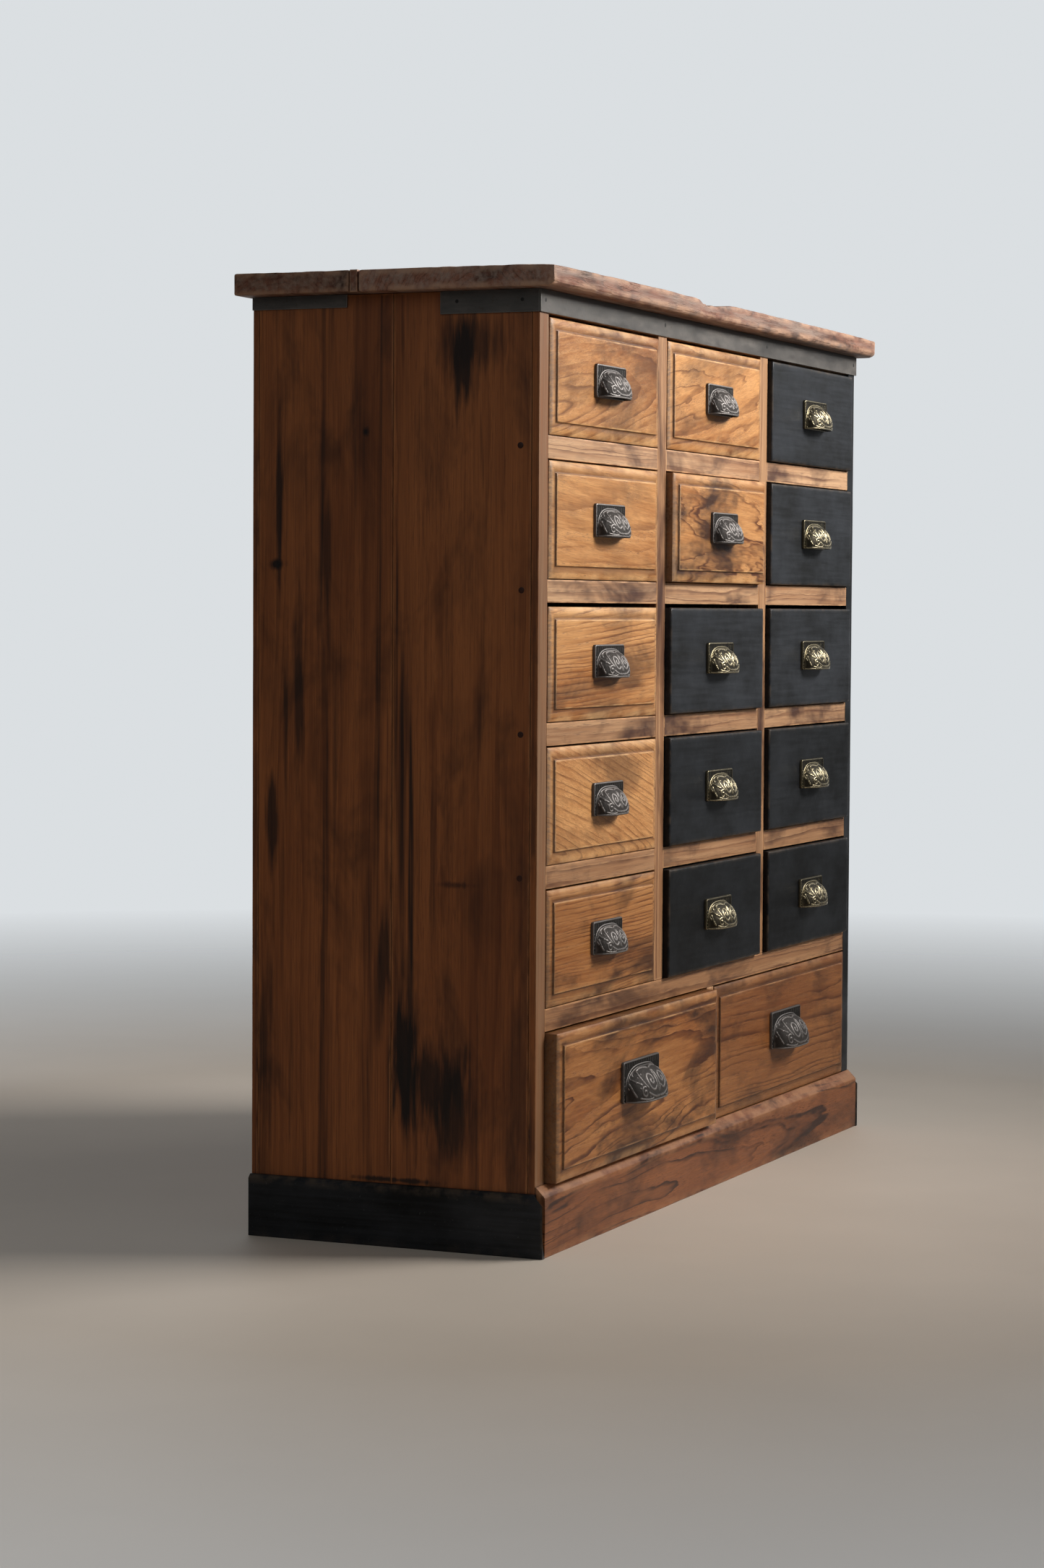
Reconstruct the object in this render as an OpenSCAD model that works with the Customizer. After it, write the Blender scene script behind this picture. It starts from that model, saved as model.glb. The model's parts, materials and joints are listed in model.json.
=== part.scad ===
// Apothecary cabinet: three columns of five small drawers over two wide ones.
// Drawers stand in plain openings, run on side runners and have cup pulls.

/* [Carcass] */
// Width over the side panels
body_w = 993; // [700:1:1400]
// Depth over the front edges and the back panel
body_d = 314; // [260:1:480]
// Thickness of each side panel
side_t = 23; // [15:0.5:35]
// Thickness of the upright dividers
divider_t = 25; // [12:0.5:40]
// Thickness of the upright divider between the wide drawers
low_divider_t = 20; // [12:0.5:40]
// Thickness of the back panel
back_t = 7; // [4:0.5:15]
// Depth of the lipping on the front edge of the left side
lipping_d = 8; // [4:0.5:20]
// Height of the floor of the wide drawers above the ground
base_h = 70; // [45:1:150]
// Thickness of the bottom board
bottom_t = 12; // [6:0.5:25]

/* [Openings] */
// Height of each small drawer opening
row_h = 118.5; // [80:0.5:200]
// Height of the wide drawer openings
wide_h = 151; // [110:1:260]
// Height of the rails between the drawers
rail_t = 23; // [12:0.5:40]
// Depth of the rails, front to back
rail_d = 36; // [20:1:60]
// Width of each drawer runner
runner_w = 16; // [8:1:30]
// Hairline left between boards that are butted together
joint_gap = 0.2; // [0.1:0.05:0.6]

/* [Top] */
// Thickness of the top boards
top_t = 22.5; // [12:0.5:45]
// How far the top stands past each side
top_side_over = 24; // [5:1:60]
// How far the top stands past the front
top_front_over = 26; // [5:1:60]
// How far the top stands past the back
top_back_over = 10; // [0.5:0.5:40]
// Depth of the back board of the top
top_back_board_d = 129; // [60:1:200]
// Depth of the thin filler strip between the top boards
top_strip_d = 9; // [4:0.5:20]
// Gap at each joint between the top boards
top_joint_gap = 0.4; // [0.2:0.1:2]
// Radius of the corners of the top, seen from above
top_corner_r = 5; // [1:0.5:12]

/* [Metal trim] */
// Height of the dark rail under the top
trim_h = 22.5; // [12:0.5:40]
// Thickness of the dark rail and of the side plates
trim_t = 2; // [1:0.25:5]
// Length of each side plate
side_plate_l = 106; // [40:1:120]
// Height of the front side plates
front_plate_h = 22.5; // [8:0.5:40]
// Height of the back side plates
back_plate_h = 13; // [6:0.5:40]

/* [Plinth] */
// Thickness of the front plinth board
plinth_front_t = 11; // [6:0.5:25]
// Thickness of the side plinth boards
plinth_side_t = 7; // [4:0.5:20]
// Height of the side plinth boards
plinth_side_h = 63; // [35:1:140]
// Size of the bevel along the top of the front board
front_bevel = 10; // [3:0.5:10.5]
// Size of the bevel along the top of the side boards
side_bevel = 3.5; // [1:0.5:6]

/* [Drawer fronts] */
// Thickness of a drawer front behind the face of the cabinet
front_t = 16; // [10:0.5:25]
// How far the raised field of a wooden front stands out
field_rise = 4; // [2:0.5:8]
// Height of the small step round the field
field_step = 1.2; // [0.5:0.1:2]
// Width of the round moulding between the edge and the field
moulding_w = 12; // [6:0.5:20]
// Extra thickness of a black slab front
slab_rise = 2; // [0.5:0.5:6]
// Radius of the edges of a black slab front
slab_r = 1.5; // [0.5:0.25:3]
// Gap at each side of a drawer
side_gap = 1.5; // [0.5:0.1:4]
// Gap under a drawer
bottom_gap = 0.8; // [0.4:0.1:3]
// Gap over the drawers of the first row
row_1_gap = 3.5; // [1:0.1:6]
// Gap over the drawers of the third row
row_3_gap = 4; // [1:0.1:6]
// Gap over the other drawers
top_gap = 1.6; // [0.8:0.1:6]

/* [Drawer boxes] */
// Thickness of the sides and the back of a drawer
box_t = 9; // [6:0.5:15]
// Thickness of the bottom of a drawer
box_bottom_t = 5; // [3:0.5:9]
// Depth of the groove that holds the bottom
groove_d = 4; // [2:0.5:5]
// Height of the bottom above the lower edge of the sides
bottom_up = 6; // [3:0.5:15]
// How much lower the sides are than the front
box_lower = 12; // [4:1:40]
// Clearance of the bottom in its grooves
groove_clear = 0.3; // [0.1:0.05:0.8]
// Room between a shut drawer and the back panel
back_room = 14; // [8:1:60]

/* [Small pulls] */
// Width of the plate of a small pull
small_plate_w = 80; // [50:1:110]
// Height of the plate of a small pull
small_plate_h = 34; // [24:1:50]
// Width of the hood of a small pull
small_hood_w = 72; // [42:1:100]
// Radius of the hood of a small pull at its middle
small_hood_r = 20; // [16:0.5:24]
// Distance between the screws of a small pull
small_screws = 56; // [30:1:66]
// Height of a small pull above the middle of its front
small_lift = 2; // [0:0.5:10]

/* [Large pulls] */
// Width of the plate of a large pull
large_plate_w = 102; // [60:1:130]
// Height of the plate of a large pull
large_plate_h = 43; // [30:1:60]
// Width of the hood of a large pull
large_hood_w = 91; // [56:1:120]
// Radius of the hood of a large pull at its middle
large_hood_r = 26; // [20:0.5:31]
// Distance between the screws of a large pull
large_screws = 74; // [40:1:84]
// Height of a large pull above the middle of its front
large_lift = 6; // [0:0.5:15]
// Distance of the pull of the left wide drawer from the middle, towards the side panel
wide_left_shift = 15; // [0:1:40]

/* [Pull details] */
// Thickness of the plate of a pull
plate_t = 3; // [1.2:0.1:4]
// Radius of the corners of the plate
plate_r = 3; // [1:0.25:6]
// Wall of the hood
hood_wall = 2; // [1.2:0.1:3]
// Roundness of the ends of the hood, as a share of its radius
hood_end = 0.6; // [0.3:0.05:0.8]
// How far the centre of the hood sits behind the plate and above its lower edge
hood_set = 5; // [2:0.5:8]
// Radius of the screw shank
screw_r = 2; // [1.5:0.1:3]
// Radius of the screw head
screw_head_r = 4; // [3:0.1:6]
// Height of the screw head
screw_head_h = 2.5; // [1:0.1:4]
// Radius of the boss behind the plate
boss_r = 3.5; // [3:0.1:6]
// Length of the boss behind the plate
boss_l = 7; // [4:0.5:9]
// Clearance round the boss and round the screw
hole_clear = 0.25; // [0.1:0.05:0.6]

/* [How far each drawer stands open at rest] */
// The wooden drawer in column 2, row 2
open_c2_r2 = 7; // [0:0.5:20]
// The black drawers of column 2
open_c2_black = 5; // [0:0.5:20]
// The black drawers of column 3
open_c3_black = 4; // [0:0.5:20]
// The left wide drawer
open_wide_left = 12; // [0:0.5:20]

/* [Hidden] */
COLUMNS = 3;
ROWS = 5;
$fn = 64;
cut = 1;

dark_wood = [0.24, 0.11, 0.05];
rail_wood = [0.42, 0.25, 0.15];
front_wood = [0.66, 0.41, 0.19];
top_wood = [0.33, 0.20, 0.16];
box_wood = [0.76, 0.62, 0.43];
black_paint = [0.07, 0.08, 0.09];
steel_grey = [0.22, 0.23, 0.23];
iron = [0.25, 0.23, 0.22];
brass = [0.44, 0.36, 0.22];

inner_d = body_d - back_t;
opening_w = (body_w - 2 * side_t - (COLUMNS - 1) * divider_t) / COLUMNS;
wide_w = (body_w - 2 * side_t - low_divider_t) / 2;
wide_top_z = base_h + wide_h;
rows_bottom_z = wide_top_z + rail_t;
rows_top_z = rows_bottom_z + ROWS * row_h + (ROWS - 1) * rail_t;
carcass_top_z = rows_top_z + trim_h;

function column_x(c) = side_t + (c - 1) * (opening_w + divider_t);
function row_z(r) = rows_top_z - r * row_h - (r - 1) * rail_t;
function row_gap(r) = r == 1 ? row_1_gap : r == 3 ? row_3_gap : top_gap;
function is_black(c, r) = c == 3 || (c == 2 && r >= 3);
function rest_open(c, r) =
    c == 3 ? open_c3_black : c == 2 && r >= 3 ? open_c2_black : c == 2 && r == 2 ? open_c2_r2 : 0;
function wide_x(side) = side == "left" ? side_t : side_t + wide_w + low_divider_t;

// The cabinet stands on z = 0 with the middle of its overall box at x = 0, y = 0.
large_reach = plate_t + large_hood_r - hood_set;
small_reach = plate_t + small_hood_r - hood_set;
front_reach = max(top_front_over, field_rise + large_reach + open_wide_left,
                  field_rise + small_reach + open_c2_r2,
                  slab_rise + small_reach + max(open_c2_black, open_c3_black));
shift_x = -body_w / 2;
shift_y = (front_reach - body_d - top_back_over) / 2;
module in_place() { translate([shift_x, shift_y, 0]) children(); }

// ---- carcass ----

module rounded_plate(w, d, h, r) {
    translate([r, 0, 0]) cube([w - 2 * r, d, h]);
    translate([0, r, 0]) cube([w, d - 2 * r, h]);
    for (x = [r, w - r], y = [r, d - r]) translate([x, y, 0]) cylinder(r = r, h = h);
}

module top_boards() {
    top_w = body_w + 2 * top_side_over;
    top_d = top_front_over + body_d + top_back_over;
    front_board_d = top_d - top_back_board_d - top_strip_d;
    slices = [[0, front_board_d], [front_board_d, top_strip_d],
              [front_board_d + top_strip_d, top_back_board_d]];
    color(top_wood) translate([-top_side_over, -top_front_over, carcass_top_z])
        for (i = [0 : 2]) intersection() {
            rounded_plate(top_w, top_d, top_t, top_corner_r);
            translate([-cut, slices[i][0] + (i == 0 ? -cut : top_joint_gap / 2), -cut])
                cube([top_w + 2 * cut,
                      slices[i][1] + (i == 1 ? 0 : cut) - (i == 1 ? 1 : 0.5) * top_joint_gap,
                      top_t + 2 * cut]);
        }
}

// Two boards side by side with a lipping on their front edge.
module side_panel() {
    board_d = (inner_d - lipping_d) / 2;
    cube([side_t, lipping_d, carcass_top_z]);
    for (i = [0, 1]) translate([0, lipping_d + i * board_d + joint_gap, 0])
        cube([side_t, board_d - joint_gap, carcass_top_z]);
}
module left_side_panel() { color(dark_wood) side_panel(); }
module right_side_panel() {
    color(black_paint) translate([body_w - side_t, 0, 0]) side_panel();
}

module back_panel() {
    color(dark_wood) translate([0, inner_d, 0]) cube([body_w, back_t, carcass_top_z]);
}

module upright_dividers() {
    color(rail_wood) {
        for (c = [1 : COLUMNS - 1]) translate([column_x(c) + opening_w, 0, rows_bottom_z])
            cube([divider_t, inner_d, carcass_top_z - rows_bottom_z]);
        translate([side_t + wide_w, 0, base_h]) cube([low_divider_t, inner_d, wide_h]);
    }
}

// Under a row: one rail at the front and a runner along each side of the opening.
module rail_and_runners(x, z, w) {
    translate([x, 0, z]) {
        cube([w, rail_d, rail_t]);
        for (rx = [0, w - runner_w]) translate([rx, rail_d + joint_gap, 0])
            cube([runner_w, inner_d - rail_d - joint_gap, rail_t]);
    }
}

module rails_and_runners() {
    inner_w = body_w - 2 * side_t;
    color(rail_wood) {
        for (c = [1 : COLUMNS], r = [1 : ROWS - 1])
            rail_and_runners(column_x(c), row_z(r) - rail_t, opening_w);
        // The lowest rail is one long piece, and a board backs it under the dividers.
        translate([side_t, 0, wide_top_z]) cube([inner_w, rail_d, rail_t]);
        translate([side_t, rail_d + joint_gap, wide_top_z])
            cube([inner_w, inner_d - rail_d - joint_gap, rail_t]);
        for (c = [1 : COLUMNS]) translate([column_x(c), 0, rows_top_z])
            cube([opening_w, rail_d, trim_h]);
        translate([side_t, 0, base_h - bottom_t]) cube([inner_w, inner_d, bottom_t]);
    }
}

module metal_trim() {
    color(steel_grey) {
        translate([-trim_t, -trim_t, rows_top_z]) cube([body_w + 2 * trim_t, trim_t, trim_h]);
        for (x = [-trim_t, body_w]) {
            translate([x, 0, carcass_top_z - front_plate_h])
                cube([trim_t, side_plate_l, front_plate_h]);
            translate([x, body_d - side_plate_l, carcass_top_z - back_plate_h])
                cube([trim_t, side_plate_l, back_plate_h]);
        }
    }
}

module plinth_front() {
    t = plinth_front_t;
    color(rail_wood) rotate([90, 0, 90]) linear_extrude(body_w)
        polygon([[0, 0], [-t, 0], [-t, base_h - front_bevel], [front_bevel - t, base_h],
                 [0, base_h]]);
}

// A side board: bevelled along its top, and clipped at the front to follow the front board.
module plinth_side() {
    t = plinth_side_t;
    h = plinth_side_h;
    clip_z = h - front_bevel;
    l = body_d + plinth_front_t;
    intersection() {
        translate([0, body_d, 0]) rotate([90, 0, 0]) linear_extrude(l)
            polygon([[0, 0], [-t, 0], [-t, h - side_bevel], [side_bevel - t, h], [0, h]]);
        translate([-t, 0, 0]) rotate([90, 0, 90]) linear_extrude(t)
            polygon([[body_d, 0], [-plinth_front_t, 0], [-plinth_front_t, clip_z],
                     [front_bevel - plinth_front_t, h], [body_d, h]]);
    }
}
module plinth_sides() {
    color(black_paint) {
        plinth_side();
        translate([body_w, 0, 0]) mirror([1, 0, 0]) plinth_side();
    }
}

// ---- drawers ----
// A drawer's own corner is the lower left front corner of its shut front; y runs inwards.

// Outline of a wooden front across its moulding: x along the face, y outwards.
module moulded_outline(w) {
    round_h = field_rise - field_step;
    // A round of this radius spans the moulding's width and height.
    round_r = (pow(moulding_w, 2) + pow(round_h, 2)) / (2 * round_h);
    translate([0, -front_t]) square([w, front_t]);
    translate([moulding_w, -cut]) square([w - 2 * moulding_w, field_rise + cut]);
    for (side = [0, 1]) translate([side * w, 0]) mirror([side, 0]) intersection() {
        translate([0, -cut]) square([moulding_w + cut, round_h + cut]);
        translate([moulding_w, round_h - round_r]) circle(r = round_r, $fn = 256);
    }
}

// Two crossed extrusions of the outline meet in mitred mouldings.
module moulded_front(w, h) {
    intersection() {
        mirror([0, 1, 0]) linear_extrude(h) moulded_outline(w);
        rotate([0, 90, 0]) mirror([1, 0, 0]) mirror([0, 1, 0])
            linear_extrude(w) moulded_outline(h);
    }
}

module slab_outline(w) {
    r = slab_r;
    translate([0, -front_t]) square([w, front_t + slab_rise - r]);
    translate([r, -front_t]) square([w - 2 * r, front_t + slab_rise]);
    for (x = [r, w - r]) translate([x, slab_rise - r]) circle(r = r);
}

module slab_front(w, h) {
    intersection() {
        mirror([0, 1, 0]) linear_extrude(h) slab_outline(w);
        rotate([0, 90, 0]) mirror([1, 0, 0]) mirror([0, 1, 0])
            linear_extrude(w) slab_outline(h);
    }
}

module screw_holes(x_mid, z_mid, screws) {
    for (x = [-1, 1] * screws / 2) translate([x_mid + x, front_t + cut, z_mid])
        rotate([90, 0, 0]) {
            cylinder(r = screw_r + hole_clear, h = front_t + field_rise + slab_rise + 2 * cut);
            translate([0, 0, cut + front_t - boss_l])
                cylinder(r = boss_r + hole_clear, h = boss_l + field_rise + slab_rise + cut);
        }
}

module drawer_front(w, h, black, screws, lift, shift = 0) {
    color(black ? black_paint : front_wood) difference() {
        if (black) slab_front(w, h); else moulded_front(w, h);
        screw_holes(w / 2 - shift, h / 2 + lift, screws);
    }
}

// Two sides with grooves, a bottom that slides in them, and a back that stands on the bottom.
module drawer_box(w, h) {
    side_l = inner_d - back_room - front_t;
    side_h = h - box_lower;
    groove_x = box_t - groove_d;
    back_x = box_t + joint_gap;
    back_z = bottom_up + box_bottom_t + groove_clear;
    color(box_wood) translate([0, front_t, 0]) {
        for (i = [0, 1]) translate([i * w, 0, 0]) mirror([i, 0, 0]) difference() {
            cube([box_t, side_l, side_h]);
            translate([groove_x, -cut, bottom_up - groove_clear])
                cube([groove_d + cut, side_l + 2 * cut, box_bottom_t + 2 * groove_clear]);
        }
        translate([back_x, side_l - box_t, back_z])
            cube([w - 2 * back_x, box_t, side_h - back_z]);
        translate([groove_x + groove_clear, joint_gap, bottom_up])
            cube([w - 2 * (groove_x + groove_clear), side_l - joint_gap, box_bottom_t]);
    }
}

// Half the section of a hood through its long axis: a flat bow between two round ends.
module hood_section(w, r) {
    end_r = hood_end * r;
    end_x = w / 2 - end_r;
    // The radius of a bow that meets both ends smoothly.
    bow_r = (pow(w / 2, 2) + pow(r, 2) - w * end_r) / (2 * (r - end_r));
    far = 2 * w;
    intersection() {
        union() {
            for (x = [-1, 1] * end_x) translate([0, x]) circle(r = end_r);
            intersection() {
                translate([r - bow_r, 0]) circle(r = bow_r, $fn = 128);
                polygon([[r - bow_r, 0], [r - bow_r + far * (bow_r - r) / end_x, far],
                         [r - bow_r + far * (bow_r - r) / end_x, -far]]);
            }
        }
        translate([0, -w]) square([2 * r, 2 * w]);
    }
}
module hood_body(w, r) { rotate([0, 90, 0]) rotate_extrude() hood_section(w, r); }

module pull(plate_w, plate_h, hood_w, hood_r, screws, metal) {
    color(metal) {
        difference() {
            union() {
                translate([-plate_w / 2, 0, 0]) rotate([90, 0, 0])
                    rounded_plate(plate_w, plate_h, plate_t, plate_r);
                intersection() {
                    translate([0, hood_set - plate_t, hood_set]) hood_body(hood_w, hood_r);
                    translate([-hood_w / 2, -hood_r - plate_t, 0])
                        cube([hood_w, hood_r + plate_t, plate_h]);
                }
                for (x = [-1, 1] * screws / 2) translate([x, boss_l - cut / 2, plate_h / 2])
                    rotate([90, 0, 0]) cylinder(r = boss_r, h = boss_l);
            }
            intersection() {
                translate([0, hood_set - plate_t, hood_set])
                    hood_body(hood_w - 2 * hood_wall, hood_r - hood_wall);
                translate([-hood_w / 2, -hood_r - plate_t, -cut])
                    cube([hood_w, hood_r, plate_h]);
            }
            for (x = [-1, 1] * screws / 2) translate([x, boss_l + cut, plate_h / 2])
                rotate([90, 0, 0]) cylinder(r = screw_r + hole_clear / 2, h = boss_l + cut);
        }
    }
}

// A machine screw from inside the drawer into the boss of the pull.
module pull_screws(plate_h, screws, face) {
    color(steel_grey) for (x = [-1, 1] * screws / 2)
        translate([x, front_t + face, plate_h / 2]) rotate([90, 0, 0]) {
            cylinder(r = screw_r, h = front_t + face - 1);
            translate([0, 0, -screw_head_h]) cylinder(r = screw_head_r, h = screw_head_h);
        }
}

module small_pull(w, h, black) {
    face = black ? slab_rise : field_rise;
    translate([w / 2, -face, (h - small_plate_h) / 2 + small_lift]) {
        pull(small_plate_w, small_plate_h, small_hood_w, small_hood_r, small_screws,
             black ? brass : iron);
        pull_screws(small_plate_h, small_screws, face);
    }
}

module large_pull(w, h, shift) {
    translate([w / 2 - shift, -field_rise, (h - large_plate_h) / 2 + large_lift]) {
        pull(large_plate_w, large_plate_h, large_hood_w, large_hood_r, large_screws, iron);
        pull_screws(large_plate_h, large_screws, field_rise);
    }
}

small_w = opening_w - 2 * side_gap;
wide_front_w = wide_w - 2 * side_gap;
wide_front_h = wide_h - top_gap - bottom_gap;
function small_h(r) = row_h - row_gap(r) - bottom_gap;

module at_drawer(c, r) {
    in_place() translate([column_x(c) + side_gap, -rest_open(c, r), row_z(r) + bottom_gap])
        children();
}
module at_wide(side) {
    open = side == "left" ? open_wide_left : 0;
    in_place() translate([wide_x(side) + side_gap, -open, base_h + bottom_gap]) children();
}

// ---- nodes ----

in_place() top_boards();
in_place() left_side_panel();
in_place() right_side_panel();
in_place() back_panel();
in_place() upright_dividers();
in_place() rails_and_runners();
in_place() metal_trim();
in_place() plinth_front();
in_place() plinth_sides();
for (c = [1 : COLUMNS], r = [1 : ROWS]) {
    name = str("c", c, "_r", r);
    at_drawer(c, r)
            drawer_front(small_w, small_h(r), is_black(c, r), small_screws, small_lift);
    at_drawer(c, r) drawer_box(small_w, small_h(r));
    at_drawer(c, r) small_pull(small_w, small_h(r), is_black(c, r));
}
for (side = ["left", "right"]) {
    name = str("wide_", side);
    shift = side == "left" ? wide_left_shift : 0;
    at_wide(side) drawer_front(wide_front_w, wide_front_h, false, large_screws,
                                   large_lift, shift);
    at_wide(side) drawer_box(wide_front_w, wide_front_h);
    at_wide(side) large_pull(wide_front_w, wide_front_h, shift);
}
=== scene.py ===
"""Looks of the apothecary cabinet: worn boards, moulded drawer fronts and embossed cup pulls
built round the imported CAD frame. Metres, in the frame's own axes: the drawers face -Y."""
import json
import math
import random

import bmesh
import bpy
import numpy as np
from mathutils import Matrix, Vector, noise

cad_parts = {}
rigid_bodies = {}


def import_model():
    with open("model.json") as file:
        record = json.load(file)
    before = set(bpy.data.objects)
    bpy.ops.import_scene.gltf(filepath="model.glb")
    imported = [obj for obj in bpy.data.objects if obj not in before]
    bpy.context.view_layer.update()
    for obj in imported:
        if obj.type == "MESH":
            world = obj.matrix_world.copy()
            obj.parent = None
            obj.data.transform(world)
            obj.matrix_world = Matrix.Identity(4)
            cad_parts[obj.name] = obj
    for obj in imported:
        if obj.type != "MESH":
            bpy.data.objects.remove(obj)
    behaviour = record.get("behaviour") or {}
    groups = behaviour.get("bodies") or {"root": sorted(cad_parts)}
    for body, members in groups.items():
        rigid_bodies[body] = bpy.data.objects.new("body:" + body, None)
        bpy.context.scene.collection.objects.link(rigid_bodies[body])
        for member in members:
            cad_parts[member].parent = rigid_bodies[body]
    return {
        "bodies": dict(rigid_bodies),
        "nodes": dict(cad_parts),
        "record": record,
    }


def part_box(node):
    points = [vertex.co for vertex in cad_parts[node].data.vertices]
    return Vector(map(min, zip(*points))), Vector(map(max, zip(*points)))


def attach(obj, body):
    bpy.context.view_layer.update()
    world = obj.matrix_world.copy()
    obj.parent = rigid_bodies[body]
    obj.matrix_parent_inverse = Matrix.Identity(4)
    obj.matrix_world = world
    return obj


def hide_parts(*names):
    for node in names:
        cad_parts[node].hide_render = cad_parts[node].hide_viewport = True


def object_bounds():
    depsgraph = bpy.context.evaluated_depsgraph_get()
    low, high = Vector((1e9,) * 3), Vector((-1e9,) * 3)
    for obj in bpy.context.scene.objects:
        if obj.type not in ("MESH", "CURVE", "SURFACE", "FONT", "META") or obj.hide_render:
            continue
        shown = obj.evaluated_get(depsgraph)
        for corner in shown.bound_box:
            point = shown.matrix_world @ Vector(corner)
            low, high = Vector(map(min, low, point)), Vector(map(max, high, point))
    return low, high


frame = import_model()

CAD_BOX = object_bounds()
MM = 0.001
ROOT = "cabinet"

# ---------------------------------------------------------------- camera, floor, light

CAMERA_PLACE = Vector((-3.682, -1.491, 0.638))
CAMERA_HEADING = math.radians(66.80)     # from +Y towards +X
CAMERA_DOWN = math.radians(2.814)
CAMERA_ROLL = math.radians(0.328)
CAMERA_LENS = 81.17                      # for a frame 36 mm high
WALL_HEADING = math.radians(60)
WALL_EDGE = (0.70, 0.93)                 # cosines from the wall's middle: dim, fully bright
WALL_LIGHT, ROOM_LIGHT = 0.76, 0.12
FLOOR_FADE = (1.0, 3.6)                  # distances over which the floor fades into the room


def make_camera():
    forward = Vector((math.sin(CAMERA_HEADING) * math.cos(CAMERA_DOWN),
                      math.cos(CAMERA_HEADING) * math.cos(CAMERA_DOWN), -math.sin(CAMERA_DOWN)))
    right = forward.cross(Vector((0, 0, 1))).normalized()
    up = right.cross(forward)
    c, s = math.cos(CAMERA_ROLL), math.sin(CAMERA_ROLL)
    right, up = c * right + s * up, c * up - s * right
    data = bpy.data.cameras.new("camera")
    data.sensor_fit = "VERTICAL"
    data.sensor_height = 36
    data.lens = CAMERA_LENS
    camera = bpy.data.objects.new("camera", data)
    bpy.context.scene.collection.objects.link(camera)
    turn = Matrix((right, up, -forward)).transposed().to_4x4()
    camera.matrix_world = Matrix.Translation(CAMERA_PLACE) @ turn
    bpy.context.scene.camera = camera


def area_light(name, place, target, size, power, colour=(1, 1, 1), spread=180):
    data = bpy.data.lights.new(name, "AREA")
    data.shape = "RECTANGLE"
    data.size, data.size_y = size
    data.energy = power
    data.color = colour
    data.spread = math.radians(spread)
    light = bpy.data.objects.new(name, data)
    light.location = place
    light.rotation_euler = (Vector(target) - Vector(place)).to_track_quat("-Z", "Y").to_euler()
    bpy.context.scene.collection.objects.link(light)


def make_world():
    """A soft room: bright behind the cabinet, where the wall would be, and dim elsewhere."""
    world = bpy.data.worlds.new("studio")
    bpy.context.scene.world = world
    world.use_nodes = True
    room = Nodes(world.node_tree)
    direction = room.add("ShaderNodeTexCoord").outputs["Generated"]
    wall = (math.sin(WALL_HEADING), math.cos(WALL_HEADING), 0)
    light = room.span(room.vector("DOT_PRODUCT", direction, wall), *WALL_EDGE,
                      ROOM_LIGHT, WALL_LIGHT, smooth=True)
    strength = room.add("ShaderNodeMix")          # seen directly, the room is all pale wall
    room.put(strength.inputs[0], room.add("ShaderNodeLightPath").outputs["Is Camera Ray"])
    room.put(strength.inputs[2], light)
    room.put(strength.inputs[3], WALL_LIGHT)
    back = room.tree.nodes["Background"]
    room.put(back.inputs["Color"], (0.93, 0.97, 1.0))
    room.put(back.inputs["Strength"], strength)


def make_studio():
    bpy.context.scene.view_settings.view_transform = "Standard"
    make_world()
    area_light("key", (1.0, -2.0, 2.0), (0, 0, 1.12), (1.5, 0.9), 21, (1.0, 0.985, 0.96), 72)
    area_light("side", (3.4, -2.5, 2.3), (0, 0, 0.9), (1.6, 1.2), 5, (1.0, 1.0, 1.0), 80)
    area_light("fill", (-3.4, -0.2, 2.4), (-0.5, 0, 0.6), (2.0, 2.0), 10, (0.95, 0.98, 1.0))
    bpy.ops.mesh.primitive_plane_add(size=24, location=(0, 0, CAD_BOX[0][2]))
    floor = bpy.context.object
    floor.name = "floor"
    look = Look("floor")
    place = look.add("ShaderNodeTexCoord").outputs["Object"]
    cloud = look.noise(place, (1.5, 1.5, 1), 4.0)
    colour = look.ramp(cloud, (0.3, (0.62, 0.53, 0.44)), (0.7, (0.70, 0.60, 0.50)))
    look.finish(colour, 0.65)
    look.put(look.shader.inputs["Alpha"], look.span(look.vector("LENGTH", place), *FLOOR_FADE, 1, 0))
    floor.data.materials.append(look.material)


# ---------------------------------------------------------------- materials

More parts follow.
